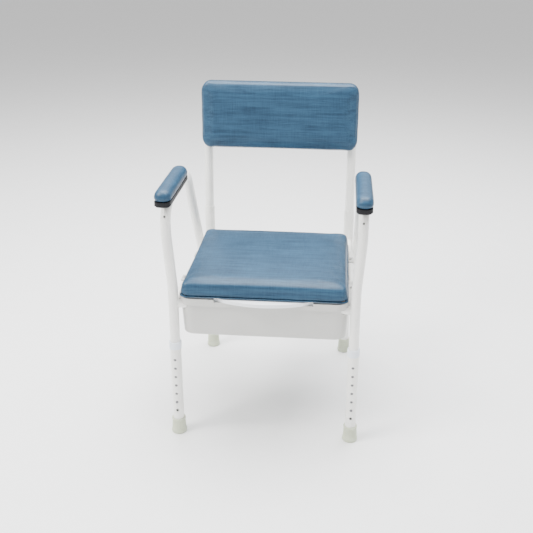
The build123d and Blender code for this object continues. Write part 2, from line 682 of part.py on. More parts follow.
def backrest_bolts():
    """Button-head bolts that lock the backrest hoop in its sleeves."""
    bolts = []
    for side in (-1, 1):
        x = side * REAR_X
        face_y = REAR_Y + SLEEVE_R
        bolt = rod((x, face_y - 1.0, BOLT_Z), (x, face_y + BOLT_HEAD, BOLT_Z), BOLT_HEAD_R)
        bolt -= rod((x, REAR_Y, BOLT_Z - BOLT_HEAD_R), (x, REAR_Y, BOLT_Z + BOLT_HEAD_R), SLEEVE_R)
        bolt += rod((x, REAR_Y + 9.0, BOLT_Z), (x, face_y + 1.0, BOLT_Z), BOLT_R)
        bolt -= rod((x, face_y + 1.0, BOLT_Z), (x, face_y + BOLT_HEAD, BOLT_Z), BOLT_SOCKET_R)
        bolts.append(bolt)
    return group(bolts)


def back_board():
    """Plywood board behind the back cushion, on the front of the hoop."""
    half = BACK_PAD_HALF - BACK_BOARD_INSET
    z_span = (BACK_PAD_LOW + BACK_BOARD_INSET, BACK_PAD_HIGH - BACK_BOARD_INSET)
    board = block((-half, half), (-TUBE_R - BACK_BOARD, -TUBE_R), z_span)
    for side in (-1, 1):
        for height in BACK_SCREW_HEIGHTS:
            start = (side * REAR_X, -TUBE_R - BACK_SCREW_BITE - 0.5, height)
            board -= rod(start, (side * REAR_X, 0, height), SCREW_HOLE_R)
    return reclined(board)


def back_cushion():
    """The backrest's padding, as a plain rounded block wrapped round its board's edge."""
    half = BACK_PAD_HALF
    pad = block((-half, half), (-BACK_PAD_FRONT, -TUBE_R), (BACK_PAD_LOW, BACK_PAD_HIGH))
    pad = fillet(pad.edges().filter_by(Axis.Y), BACK_PAD_CORNER_R)
    pad = fillet(pad.faces().sort_by(Axis.Y)[0].edges(), BACK_PAD_EDGE_R)
    inner = half - BACK_BOARD_INSET
    z_span = (BACK_PAD_LOW + BACK_BOARD_INSET, BACK_PAD_HIGH - BACK_BOARD_INSET)
    pad -= block((-inner, inner), (-TUBE_R - BACK_BOARD, -TUBE_R), z_span)
    return reclined(pad)


def back_screws():
    """Screws from behind the hoop into the back board."""
    screws = []
    for side in (-1, 1):
        for height in BACK_SCREW_HEIGHTS:
            x = side * REAR_X
            head_y = TUBE_R + SCREW_HEAD
            recess_y = head_y - SCREW_RECESS
            screw = rod((x, TUBE_R - 1.0, height), (x, head_y, height), SCREW_HEAD_R)
            screw -= rod((x, 0, height - SCREW_HEAD_R), (x, 0, height + SCREW_HEAD_R), TUBE_R)
            screw -= rod((x, recess_y, height), (x, head_y, height), SCREW_RECESS_R)
            screw += rod((x, -TUBE_R - BACK_SCREW_BITE, height), (x, recess_y, height), SCREW_R)
            screws.append(reclined(screw))
    return group(screws)


# ---------------------------------------------------------------- legs

def leg(x, y, outward):
    """Sliding outer tube of a leg with its row of height holes."""
    body = tube((x, y, LEG_LOW_Z), (x, y, LEG_HIGH_Z), LEG_R, LEG_R - LEG_BORE_R)
    for k in range(HOLE_COUNT):
        z = HOLE_TOP_Z - k * HOLE_PITCH
        body -= rod((x, y, z), (x, y + outward * BORE_REACH, z), LEG_HOLE_R)
    return body


def leg_collar(x, y):
    """Plastic bush on the leg's top that guides the inner tube."""
    body = rod((x, y, COLLAR_LOW_Z), (x, y, COLLAR_HIGH_Z), COLLAR_R)
    body = fillet(body.faces().sort_by(Axis.Z)[-1].edges(), 1.6)
    body -= rod((x, y, COLLAR_LOW_Z), (x, y, LEG_HIGH_Z), LEG_R)
    return body - rod((x, y, LEG_HIGH_Z), (x, y, COLLAR_HIGH_Z), COLLAR_BORE_R)


def leg_tip(x, y):
    """Rubber ferrule with a wide sole, ring grooves and a bead round its mouth."""
    neck_z = TIP_HIGH_Z - 6.0
    profile = make_face(Polyline(
        (0, 0),
        (TIP_FOOT_R - 1.5, 0),
        (TIP_FOOT_R, 1.5),
        (TIP_FOOT_R, 7.0),
        (TIP_R + 1.4, 12.0),
        (TIP_R, neck_z),
        (TIP_RING_R, neck_z + 1.0),
        (TIP_RING_R, TIP_HIGH_Z - 1.0),
        (TIP_RING_R - 1.0, TIP_HIGH_Z),
        (0, TIP_HIGH_Z),
        close=True,
    ))
    body = revolve(Plane.XZ * profile, axis=Axis.Z)
    for k in range(TIP_GROOVES):
        z = TIP_GROOVE_LOW_Z + k * TIP_GROOVE_PITCH
        body -= Pos(0, 0, z) * (Cylinder(TIP_FOOT_R, TIP_GROOVE) - Cylinder(TIP_R - 0.4, TIP_GROOVE))
    body -= Pos(0, 0, (LEG_LOW_Z + TIP_HIGH_Z) / 2) * Cylinder(LEG_R, TIP_HIGH_Z - LEG_LOW_Z)
    return Pos(x, y, 0) * body


def snap_button(x, y, outward):
    """Domed button with a flange inside the fixed tube."""
    z = HOLE_TOP_Z - BUTTON_HOLE * HOLE_PITCH
    flange_in, flange_out = BUTTON_FLANGE
    body = Cylinder(BUTTON_R, BUTTON_OUT - flange_in, align=(Align.CENTER, Align.CENTER, Align.MIN))
    body = fillet(body.faces().sort_by(Axis.Z)[-1].edges(), 1.4)
    flange = Cylinder(BUTTON_FLANGE_R, flange_out - flange_in, align=(Align.CENTER, Align.CENTER, Align.MIN))
    body = Pos(0, 0, flange_in) * (body + flange)
    plane = Plane(origin=(x, y, z), x_dir=(1, 0, 0), z_dir=(0, outward, 0))
    return plane * body


def button_spring(x, y, outward):
    """Bent leaf inside the fixed tube that pushes its button out."""
    z = HOLE_TOP_Z - BUTTON_HOLE * HOLE_PITCH
    front_in = BUTTON_FLANGE[0] - SPRING_GAUGE
    centre_y = front_in - SPRING_BEND_R
    half = SPRING_WIDTH / 2
    front = block((-half, half), (front_in, front_in + SPRING_GAUGE), (-7.0, SPRING_LEG))
    back_y = centre_y - SPRING_BEND_R - SPRING_GAUGE
    back = block((-half, half), (back_y, back_y + SPRING_GAUGE), (2.0, SPRING_LEG))
    left_end, right_end = (-half, centre_y, SPRING_LEG), (half, centre_y, SPRING_LEG)
    ring_outer = rod(left_end, right_end, SPRING_BEND_R + SPRING_GAUGE)
    ring_inner = rod(left_end, right_end, SPRING_BEND_R)
    bend = (ring_outer - ring_inner) & block((-half, half), (-20.0, 20.0), (SPRING_LEG, SPRING_LEG + 20.0))
    leaf = front + back + bend
    leaf = leaf if outward > 0 else mirror(leaf, about=Plane.XZ)
    return Pos(x, y, z) * leaf


# ---------------------------------------------------------------- write the nodes

save("front_seat_rail", cross_rail(FRONT_RAIL_Y, CROSS_RAIL_R, FRONT_X, FRONT_Y, TUBE_R))
save("rear_seat_rail", cross_rail(REAR_Y, CROSS_RAIL_R, REAR_X, REAR_Y, SLEEVE_R))
save("hinge_rail", hinge_rail())

for side_name, side in SIDES:
    save(f"{side_name}_side_tube", on_side(side_tube(), side))
    save(f"{side_name}_rear_tube", on_side(rear_tube(), side))
    save(f"{side_name}_backrest_sleeve", on_side(backrest_sleeve(), side))
    save(f"{side_name}_seat_rail", on_side(seat_rail(), side))
    save(f"{side_name}_arm_base", on_side(arm_base(), side))
    save(f"{side_name}_arm_pad", on_side(arm_pad(), side))
    save(f"{side_name}_pan_runner", on_side(pan_runner(), side))
    save(f"{side_name}_hinge_bracket", hinge_bracket(side))
    save(f"{side_name}_hinge_leaf", hinge_leaf(side))

save("arm_pad_screws", arm_screws())
save("apron", apron())
save("apron_screws", apron_screws())
save("toilet_seat", toilet_seat())
save("toilet_seat_studs", toilet_seat_studs())
save("lid_hinge_pins", hinge_pins())
save("seat_board", seat_board())
save("seat_cushion", seat_cushion())
save("lid_screws", lid_screws())
save("lid_buffers", lid_buffers())
save("pan", pan())
save("backrest_tube", backrest_tube())
save("backrest_bolts", backrest_bolts())
save("back_board", back_board())
save("back_cushion", back_cushion())
save("back_screws", back_screws())

for leg_name, (leg_x, leg_y, leg_outward) in LEGS.items():
    save(f"{leg_name}_leg", leg(leg_x, leg_y, leg_outward))
    save(f"{leg_name}_collar", leg_collar(leg_x, leg_y))
    save(f"{leg_name}_tip", leg_tip(leg_x, leg_y))
    save(f"{leg_name}_button", snap_button(leg_x, leg_y, leg_outward))
    save(f"{leg_name}_button_spring", button_spring(leg_x, leg_y, leg_outward))
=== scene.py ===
import json
import math
import random

import bmesh
import bpy
from mathutils import Matrix, Vector


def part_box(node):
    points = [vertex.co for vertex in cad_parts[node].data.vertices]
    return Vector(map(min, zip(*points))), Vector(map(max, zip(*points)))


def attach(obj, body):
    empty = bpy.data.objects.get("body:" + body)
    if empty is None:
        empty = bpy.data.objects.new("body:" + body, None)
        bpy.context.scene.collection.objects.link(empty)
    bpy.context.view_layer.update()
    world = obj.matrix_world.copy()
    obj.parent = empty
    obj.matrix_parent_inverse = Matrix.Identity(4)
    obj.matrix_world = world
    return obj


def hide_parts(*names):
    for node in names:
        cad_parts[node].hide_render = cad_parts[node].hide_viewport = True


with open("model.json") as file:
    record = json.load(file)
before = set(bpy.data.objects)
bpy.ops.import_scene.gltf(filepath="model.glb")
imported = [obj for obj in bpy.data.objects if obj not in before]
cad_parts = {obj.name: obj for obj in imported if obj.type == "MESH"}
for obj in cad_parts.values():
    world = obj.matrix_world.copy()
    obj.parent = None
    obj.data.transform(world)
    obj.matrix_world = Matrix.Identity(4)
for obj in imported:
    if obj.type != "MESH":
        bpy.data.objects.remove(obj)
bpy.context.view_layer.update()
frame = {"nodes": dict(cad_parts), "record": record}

# The commode chair's looks: soft pads in place of the plain CAD solids, fluted rubber tips,
# weld beads, the vinyl's hems and staples, and a procedural material on every piece.
# Metres. +Z is up, the chair faces -Y, and left and right are as seen from the front.

NODES = frame["nodes"]
SIDES = (("left", -1), ("right", 1))
LEG_NAMES = ("front_left", "front_right", "rear_left", "rear_right")


def corners(node):
    """The low and high corners of a CAD node's box."""
    return tuple(Vector(corner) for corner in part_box(node))


# ---------------------------------------------------------------- shader helpers

def new_material(name, color, roughness, **sockets):
    """A Principled material with its uniform values set on the shader's own sockets."""
    made = bpy.data.materials.new(name)
    made.use_nodes = True
    shader = made.node_tree.nodes["Principled BSDF"]
    shader.inputs["Base Color"].default_value = (*color, 1.0)
    shader.inputs["Roughness"].default_value = roughness
    for socket, value in sockets.items():
        shader.inputs[socket.replace("_", " ")].default_value = value
    return made, made.node_tree, shader


def feed(tree, socket, value):
    """Link a socket to another node's output, or set it to a plain value."""
    if isinstance(value, bpy.types.NodeSocket):
        tree.links.new(value, socket)
    else:
        socket.default_value = value


def add(tree, kind, inputs=(), **settings):
    """A shader node with settings and linked or plain inputs."""
    node = tree.nodes.new(kind)
    for key, value in settings.items():
        setattr(node, key, value)
    for key, value in dict(inputs).items():
        feed(tree, node.inputs[key], value)
    return node


def grain(tree, scale, detail, rough):
    """Noise in object coordinates; one scale, or one along each axis, in cells per metre."""
    scales = scale if isinstance(scale, tuple) else (scale, scale, scale)
    source = add(tree, "ShaderNodeTexCoord").outputs["Object"]
    placed = add(tree, "ShaderNodeMapping", {"Vector": source, "Scale": scales}).outputs["Vector"]
    inputs = {"Vector": placed, "Scale": 1.0, "Detail": detail, "Roughness": rough}
    return add(tree, "ShaderNodeTexNoise", inputs).outputs["Fac"]


def ranged(tree, value, low, high, to_low=0.0, to_high=1.0):
    """A value mapped from one range to another and clamped."""
    inputs = {"Value": value, "From Min": low, "From Max": high, "To Min": to_low, "To Max": to_high}
    return add(tree, "ShaderNodeMapRange", inputs).outputs["Result"]


def weighted(tree, *parts):
    """The sum of values, each times its weight."""
    total = None
    for value, weight in parts:
        inputs = {0: value, 1: weight}
        part = add(tree, "ShaderNodeMath", inputs, operation="MULTIPLY").outputs["Value"]
        if total is not None:
            part = add(tree, "ShaderNodeMath", {0: total, 1: part}, operation="ADD").outputs["Value"]
        total = part
    return total


def blended(tree, share, first, second):
    """Two colours mixed by a value; each is a plain colour or another node's output."""
    node = add(tree, "ShaderNodeMix", {0: share}, data_type="RGBA")
    for index, color in ((6, first), (7, second)):
        feed(tree, node.inputs[index], (*color, 1.0) if isinstance(color, tuple) else color)
    return node.outputs[2]


def mottled(tree, shader, share, first, second):
    """Base colour varied between two colours by a value."""
    tree.links.new(blended(tree, share, first, second), shader.inputs["Base Color"])


def uneven_gloss(tree, shader, value, low, high, rough_low, rough_high):
    """Roughness varied by a value."""
    rough = ranged(tree, value, low, high, rough_low, rough_high)
    tree.links.new(rough, shader.inputs["Roughness"])


def bumped(tree, shader, height, strength, distance):
    """Relief from a height value, its distance in metres."""
    inputs = {"Height": height, "Strength": strength, "Distance": distance}
    relief = add(tree, "ShaderNodeBump", inputs)
    tree.links.new(relief.outputs["Normal"], shader.inputs["Normal"])


def dimmed(color, share):
    """A colour times a number."""
    return tuple(channel * share for channel in color)


# ---------------------------------------------------------------- materials

def vinyl(name, dark, light):
    """Upholstery vinyl printed and embossed with a linen weave of uneven yarns."""
    made, tree, shader = new_material(
        name, light, 0.46, Specular_IOR_Level=0.32, Coat_Weight=0.06, Coat_Roughness=0.3
    )
    yarn_run, yarn_width = 26.0, 1150.0
    weft = grain(tree, (yarn_run, yarn_width, yarn_width), detail=4.0, rough=0.7)
    warp = grain(tree, (yarn_width, yarn_run, yarn_run), detail=4.0, rough=0.7)
    slubs = grain(tree, (7.0, 150.0, 150.0), detail=3.0, rough=0.6)
    clouds = grain(tree, 13.0, detail=3.0, rough=0.5)
    weave = weighted(tree, (weft, 0.6), (warp, 0.4))
    tone = weighted(tree, (weave, 0.56), (slubs, 0.30), (clouds, 0.14))
    mottled(tree, shader, ranged(tree, tone, 0.40, 0.60), dark, light)
    uneven_gloss(tree, shader, weave, 0.35, 0.65, 0.54, 0.40)
    bumped(tree, shader, weave, 0.35, 0.0006)
    return made


def powder_coat(name, color, hole_shade=None, hole_shade_below=0.0):
    """Baked powder with a fine orange peel; below a height it may turn dark grey, a painted shade that
    stands in for the shadow in the legs' height holes.
    """
    made, tree, shader = new_material(name, color, 0.34, Coat_Weight=0.25, Coat_Roughness=0.22)
    peel = grain(tree, 620.0, detail=2.0, rough=0.4)
    patch = grain(tree, 16.0, detail=3.0, rough=0.6)
    tone = blended(tree, ranged(tree, patch, 0.35, 0.65), dimmed(color, 0.93), color)
    # Painted shade: under the given height the colour turns dark grey, so the height holes in the
    # sliding legs look shadowed.
    if hole_shade:
        edge = 0.001
        place = add(tree, "ShaderNodeTexCoord").outputs["Object"]
        height = add(tree, "ShaderNodeSeparateXYZ", {"Vector": place}).outputs["Z"]
        tone = blended(tree, ranged(tree, height, hole_shade_below - edge, hole_shade_below), hole_shade, tone)
    tree.links.new(tone, shader.inputs["Base Color"])
    uneven_gloss(tree, shader, patch, 0.3, 0.7, 0.29, 0.38)
    bumped(tree, shader, peel, 0.22, 0.0004)
    return made


def moulded(name, color, roughness, pebble, relief, shade, **sockets):
    """Moulded plastic or rubber with a fine pebble and slight cloudiness."""
    made, tree, shader = new_material(name, color, roughness, **sockets)
    texture = grain(tree, pebble, detail=3.0, rough=0.5)
    patch = grain(tree, 11.0, detail=4.0, rough=0.6)
    mottled(tree, shader, ranged(tree, patch, 0.36, 0.64), dimmed(color, shade), color)
    uneven_gloss(tree, shader, patch, 0.3, 0.7, roughness + 0.05, roughness - 0.04)
    bumped(tree, shader, texture, relief, 0.0004)
    return made


def plated(name, color, roughness):
    """Plated steel with fine draw marks."""
    made, tree, shader = new_material(name, color, roughness, Metallic=1.0)
    marks = grain(tree, (900.0, 900.0, 90.0), detail=3.0, rough=0.6)
    stain = grain(tree, 70.0, detail=3.0, rough=0.6)
    mottled(tree, shader, ranged(tree, stain, 0.35, 0.65), dimmed(color, 0.8), color)
    uneven_gloss(tree, shader, marks, 0.3, 0.7, roughness - 0.08, roughness + 0.1)
    bumped(tree, shader, marks, 0.15, 0.0002)
    return made


def plywood(name, color, dark, light):
    """Rotary-cut veneer with long uneven figure."""
    made, tree, shader = new_material(name, color, 0.68)
    figure = grain(tree, (7.0, 90.0, 90.0), detail=5.0, rough=0.65)
    fibre = grain(tree, (60.0, 1300.0, 1300.0), detail=3.0, rough=0.6)
    tone = weighted(tree, (figure, 0.7), (fibre, 0.3))
    mottled(tree, shader, ranged(tree, tone, 0.36, 0.64), dark, light)
    bumped(tree, shader, fibre, 0.4, 0.0004)
    return made


CREAM = (0.90, 0.895, 0.86)
# Painted shade: the fixed tubes turn dark grey below the collars, standing in for the shadow seen
# through the legs' height holes.
PAINTED_HOLE_SHADE = (0.16, 0.16, 0.165)
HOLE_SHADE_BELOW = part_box("front_left_collar")[1][2] - 0.004

VINYL = vinyl("linen_vinyl", (0.005, 0.025, 0.054), (0.025, 0.082, 0.148))
COAT = powder_coat("cream_powder_coat", CREAM)
POST_COAT = powder_coat("post_powder_coat", CREAM, PAINTED_HOLE_SHADE, HOLE_SHADE_BELOW)
BLACK = moulded(
    "black_moulding", (0.006, 0.006, 0.008),
    roughness=0.55, pebble=900.0, relief=0.35, shade=0.7, Specular_IOR_Level=0.25,
)
APRON = moulded(
    "apron_plastic", (0.53, 0.528, 0.505),
    roughness=0.36, pebble=1400.0, relief=0.10, shade=0.96, Coat_Weight=0.1,
)
SEAT = moulded(
    "toilet_seat_plastic", (0.88, 0.91, 0.94),
    roughness=0.24, pebble=1600.0, relief=0.05, shade=0.97, Coat_Weight=0.3,
)
PAN = moulded(
    "pan_plastic", (0.55, 0.58, 0.58),
    roughness=0.38, pebble=1500.0, relief=0.12, shade=0.95,
)
COLLAR = moulded(
    "collar_plastic", (0.80, 0.85, 0.92),
    roughness=0.36, pebble=1300.0, relief=0.10, shade=0.95,
)
TIP = moulded(
    "tip_rubber", (0.56, 0.60, 0.46),
    roughness=0.5, pebble=1000.0, relief=0.25, shade=0.86,
    Subsurface_Weight=0.35, Subsurface_Radius=(0.012, 0.012, 0.008), Subsurface_Scale=0.5,
)
BUFFER = moulded(
    "buffer_rubber", (0.02, 0.02, 0.02),
    roughness=0.7, pebble=900.0, relief=0.3, shade=0.7,
)
ZINC = plated("zinc_plate", (0.62, 0.62, 0.59), roughness=0.36)
DARK = plated("dark_plate", (0.20, 0.20, 0.21), roughness=0.34)
WOOD = plywood("plywood", (0.52, 0.36, 0.20), (0.33, 0.20, 0.10), (0.60, 0.44, 0.26))

SLOT_MATERIALS = {
    "powder_coat": COAT,
    "black_plastic": BLACK,
    "blue_vinyl": VINYL,
    "zinc_steel": ZINC,
    "dark_steel": DARK,
    "cream_plastic": APRON,
    "white_plastic": SEAT,
    "pan_plastic": PAN,
    "plywood": WOOD,
    "black_rubber": BUFFER,
    "collar_plastic": COLLAR,
    "tip_rubber": TIP,
}


def dress_nodes():
    """Give each CAD node the finish of its material slot, and the posts a painted shade below the
    collars.
    """
    for entry in frame["record"]["subparts"]:
        node = NODES[entry["node"]]
        node.data.materials.clear()
        node.data.materials.append(SLOT_MATERIALS[entry["material_slot"]])
    # The fixed tubes take the coat with painted shade below the collars.
    for post in ("left_side_tube", "right_side_tube", "left_rear_tube", "right_rear_tube"):
        NODES[post].data.materials[0] = POST_COAT


# ---------------------------------------------------------------- mesh helpers

def as_object(name, bm, material, smooth=True):
    """A mesh object from a bmesh."""
    bmesh.ops.recalc_face_normals(bm, faces=bm.faces)
    mesh = bpy.data.meshes.new(name)
    bm.to_mesh(mesh)
    bm.free()
    mesh.materials.append(material)
    for face in mesh.polygons:
        face.use_smooth = smooth
    made = bpy.data.objects.new(name, mesh)
    bpy.context.scene.collection.objects.link(made)
    return made


def apply_modifiers(piece):
    """Replace a piece's mesh by what its modifiers give."""
    graph = bpy.context.evaluated_depsgraph_get()
    graph.update()
    result = bpy.data.meshes.new_from_object(piece.evaluated_get(graph))
    piece.modifiers.clear()
    piece.data = result
    for face in result.polygons:
        face.use_smooth = True


def finish_piece(piece, body, replaced=()):
    """Ride a body and stand for CAD nodes."""
    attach(piece, body)
    if replaced:
        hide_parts(*replaced)


# ---------------------------------------------------------------- padded pieces
# A pad is made lying on z = 0, its outer side up, and is put in its place at the end.

FOOT_R = 0.003
HELD_BELOW = 0.004
PRESSURE = 4.0
CLOTH_FRAMES = 20
SETTLE_FROM = 0.75
RIPPLE_WAVES = 5
RIPPLE_TURN = 6.28


def block_mesh(size, corner_r, roll_r):
    """A block on z = 0 with round uprights, a rolled top edge and a small foot radius."""
    height = size.z
    bm = bmesh.new()
    bmesh.ops.create_cube(bm, size=1.0)
    bmesh.ops.scale(bm, vec=size, verts=bm.verts)
    bmesh.ops.translate(bm, vec=(0, 0, height / 2), verts=bm.verts)
    uprights = [e for e in bm.edges if abs(e.verts[0].co.z - e.verts[1].co.z) > height / 2]
    bmesh.ops.bevel(bm, geom=uprights, offset=corner_r, segments=10, profile=0.5, affect="EDGES")
    for level, radius, segments in ((height, roll_r, 7), (0.0, FOOT_R, 3)):
        rim = [e for e in bm.edges if all(abs(v.co.z - level) < 1e-6 for v in e.verts)]
        bmesh.ops.bevel(bm, geom=rim, offset=radius, segments=segments, profile=0.5, affect="EDGES")
    return bm


def inflate(piece, cap):
    """Blow the pad up as cloth under pressure, with its base held; no point moves past a cap."""
    held = piece.vertex_groups.new(name="held")
    held.add([v.index for v in piece.data.vertices if v.co.z < HELD_BELOW], 1.0, "REPLACE")
    cloth = piece.modifiers.new("cloth", "CLOTH")
    settings = cloth.settings
    settings.quality = 6
    settings.mass = 0.3
    settings.tension_stiffness = 18.0
    settings.compression_stiffness = 18.0
    settings.bending_stiffness = 0.8
    settings.use_pressure = True
    settings.uniform_pressure_force = PRESSURE
    settings.vertex_group_mass = "held"
    settings.effector_weights.gravity = 0.0
    cloth.point_cache.frame_start = 1
    cloth.point_cache.frame_end = CLOTH_FRAMES
    scene = bpy.context.scene
    for step in range(1, CLOTH_FRAMES + 1):
        scene.frame_set(step)
    graph = bpy.context.evaluated_depsgraph_get()
    blown = [v.co.copy() for v in piece.evaluated_get(graph).data.vertices]
    piece.modifiers.clear()
    scene.frame_set(1)
    for vertex, target in zip(piece.data.vertices, blown):
        move = target - vertex.co
        if move.length > cap:
            move *= cap / move.length
        vertex.co += move


def soften(piece, rounds):
    """Even out a pad's surface."""
    smooth = piece.modifiers.new("smooth", "SMOOTH")
    smooth.factor = 0.5
    smooth.iterations = rounds
    apply_modifiers(piece)


def shape_points(piece, change):
    """Move each vertex by what a function of its place and normal gives."""
    mesh = piece.data
    moved = [v.co + change(v.co.copy(), v.normal.copy()) for v in mesh.vertices]
    for vertex, place in zip(mesh.vertices, moved):
        vertex.co = place
    mesh.update()


def crown(size, rise, power):
    """Lift of a pad's top, full in the middle and nothing at its edges."""
    def change(place, normal):
        along = max(0.0, 1.0 - abs(place.x / (size.x / 2)) ** power)
        across = max(0.0, 1.0 - abs(place.y / (size.y / 2)) ** power)
        height = min(1.0, max(0.0, place.z / size.z))
        return Vector((0, 0, rise * height * math.sqrt(along * across)))
    return change


def pull_in(size, depth):
    """The sides drawn in between the corners, most halfway up."""
    side_from = 0.9
    def change(place, normal):
        height = math.sin(math.pi * min(1.0, max(0.0, place.z / size.z)))
        x_share, y_share = place.x / (size.x / 2), place.y / (size.y / 2)
        x_side = max(0.0, 1.0 - abs(y_share) ** 2) * (abs(x_share) > side_from)
        y_side = max(0.0, 1.0 - abs(x_share) ** 2) * (abs(y_share) > side_from)
        return Vector((
            -math.copysign(depth * x_side * height, place.x),
            -math.copysign(depth * y_side * height, place.y),
            0,
        ))
    return change


def corner_pleats(size, corner_r, depth, folds):
    """Gathers round the lower part of each corner, where the vinyl is folded under."""
    centre_x, centre_y = size.x / 2 - corner_r, size.y / 2 - corner_r
    spread = 0.02
    height_share, height_power = 0.75, 1.3
    middle_angle, fade_angle = math.pi / 4, 0.75
    def change(place, normal):
        dx, dy = abs(place.x) - centre_x, abs(place.y) - centre_y
        reach = math.hypot(max(dx, 0.0), max(dy, 0.0))
        if dx < -spread or dy < -spread or reach < corner_r * 0.5:
            return Vector()
        angle = math.atan2(dy, dx)
        low = max(0.0, 1.0 - place.z / (size.z * height_share)) ** height_power
        fade = math.exp(-((angle - middle_angle) / fade_angle) ** 2)
        wave = 0.5 - 0.5 * math.cos(folds * 4.0 * angle)
        return -normal * depth * low * fade * wave
    return change


def ripple(seed, height, reach):
    """Soft unevenness of hand-pulled upholstery, along the sides near the foot."""
    rng = random.Random(seed)
    waves = []
    for _ in range(RIPPLE_WAVES):
        waves.append((rng.uniform(16, 42), rng.uniform(0, RIPPLE_TURN), rng.uniform(0.4, 1.0)))
    def change(place, normal):
        side = 1.0 - min(1.0, abs(normal.z) * 1.2)
        low = math.exp(-place.z / reach)
        along = place.x if abs(normal.y) > abs(normal.x) else place.y
        total = sum(
            weight * math.sin(pitch * along * RIPPLE_TURN / 2 + phase) for pitch, phase, weight in waves
        )
        return normal * (height * side * low * total / RIPPLE_WAVES)
    return change


def settle(piece, limit):
    """Press the upper part of a pad down, so that its top stays under a limit."""
    knee = SETTLE_FROM * limit
    top = max(v.co.z for v in piece.data.vertices)
    press = min(1.0, (limit - knee) / (top - knee))
    for vertex in piece.data.vertices:
        if vertex.co.z > knee:
            vertex.co.z = knee + (vertex.co.z - knee) * press


def padded(name, body, node, size, place, changes, limit, corner_r, roll_r, voxel, cap):
    """One soft pad: a block, remeshed, blown up as cloth, shaped and put in its place."""
    piece = as_object(name, block_mesh(size, corner_r, roll_r), VINYL)
    remesh = piece.modifiers.new("remesh", "REMESH")
    remesh.mode = "VOXEL"
    remesh.voxel_size = voxel
    apply_modifiers(piece)
    soften(piece, rounds=6)
    inflate(piece, cap)
    soften(piece, rounds=10)
    for change in changes:
        shape_points(piece, change)
    fine = piece.modifiers.new("fine", "SUBSURF")
    fine.levels = 1
    fine.render_levels = 1
    apply_modifiers(piece)
    settle(piece, limit)
    piece.data.materials.clear()
    piece.data.materials.append(VINYL)
    piece.data.transform(place)
    finish_piece(piece, body, (node,))


def node_size(node):
    """A node's size and the middle of its base."""
    low, high = corners(node)
    middle = (low + high) / 2
    return high - low, Vector((middle.x, middle.y, low.z))


def seat_pad():
    """The lid's thick seat pad; it starts a little low, to close on the board under it."""
    cad, base = node_size("seat_cushion")
    inset, lowered = 0.002, 0.0008
    size = Vector((cad.x - 2 * inset, cad.y - 2 * inset, cad.z - 0.003))
    changes = (
        crown(size, rise=0.0035, power=3.0),
        pull_in(size, depth=0.0025),
        corner_pleats(size, corner_r=0.02, depth=0.0022, folds=3),
        ripple(seed=3, height=0.0012, reach=0.012),
    )
    padded(
        "seat_pad", "lid", "seat_cushion", size, Matrix.Translation(base - Vector((0, 0, lowered))),
        changes, limit=cad.z - lowered,
        corner_r=0.019, roll_r=0.021, voxel=0.005, cap=0.004,
    )


def arm_pads():
    """The two arm pads, full and round-ended."""
    for side_name, side in SIDES:
        cad, base = node_size(f"{side_name}_arm_pad")
        size = Vector((cad.x - 0.001, cad.y - 0.002, cad.z - 0.003))
        changes = (
            crown(size, rise=0.003, power=2.0),
            ripple(seed=20 + side, height=0.0005, reach=0.008),
        )
        padded(
            f"{side_name}_arm_cushion", "frame", f"{side_name}_arm_pad", size,
            Matrix.Translation(base), changes, limit=cad.z,
            corner_r=0.0205, roll_r=0.0155, voxel=0.0035, cap=0.0025,
        )


# ---------------------------------------------------------------- backrest
# In the backrest's own frame the tubes stand upright from their bend, at z = 0 and y = 0.
# The board's back lies against them at BACK_FACE and the pad's front is at BACK_FRONT.

RECLINE = math.radians(4.0)
BACK_BEND_Z = 0.490
BACK_HALF_WIDTH = 0.228
BACK_LOW, BACK_HIGH = 0.171, 0.371
BACK_FACE, BACK_FRONT = -0.0127, -0.0457
BACK_CORNER_R = 0.027
BOARD_SHOWS = 0.0012


def on_backrest(forward):
    """From a lying pad to the backrest, its base so far in front of the board's back."""
    sleeve_low, sleeve_high = corners("right_backrest_sleeve")
    pivot_y = (sleeve_low.y + sleeve_high.y) / 2
    lean = Matrix.Translation((0, pivot_y, BACK_BEND_Z)) @ Matrix.Rotation(-RECLINE, 4, "X")
    middle = Vector((0, BACK_FACE - forward, (BACK_LOW + BACK_HIGH) / 2))
    return lean @ (Matrix.Translation(middle) @ Matrix.Rotation(math.pi / 2, 4, "X"))


def back_pad():
    """The backrest's thin crowned pad; the board's edge shows behind it."""
    inset = 0.0015
    thickness = BACK_FACE - BACK_FRONT - 0.002 - BOARD_SHOWS
    size = Vector((2 * (BACK_HALF_WIDTH - inset), BACK_HIGH - BACK_LOW - 2 * inset, thickness))
    changes = (
        crown(size, rise=0.004, power=2.2),
        corner_pleats(size, corner_r=BACK_CORNER_R, depth=0.0015, folds=4),
        ripple(seed=8, height=0.0008, reach=0.010),
    )
    padded(
        "back_pad", "frame", "back_cushion", size, on_backrest(BOARD_SHOWS),
        changes, limit=BACK_FACE - BACK_FRONT - BOARD_SHOWS - 0.0004,
        corner_r=BACK_CORNER_R, roll_r=0.015, voxel=0.0045, cap=0.0045,
    )


# ---------------------------------------------------------------- hems and staples

HEM_INSET = 0.003
HEM_STEP, STAPLE_STEP = 0.008, 0.024
HEM_STRIPS = 4
HEM_GAP, HEM_THICKNESS = 0.0003, 0.0007
CORNER_FOLD, EDGE_FOLD = 0.0009, 0.0003
STAPLE = (0.010, 0.0011, 0.0006)
STAPLE_AT, STAPLE_BELOW = 0.62, 0.0012
CORNER_STEPS = 8


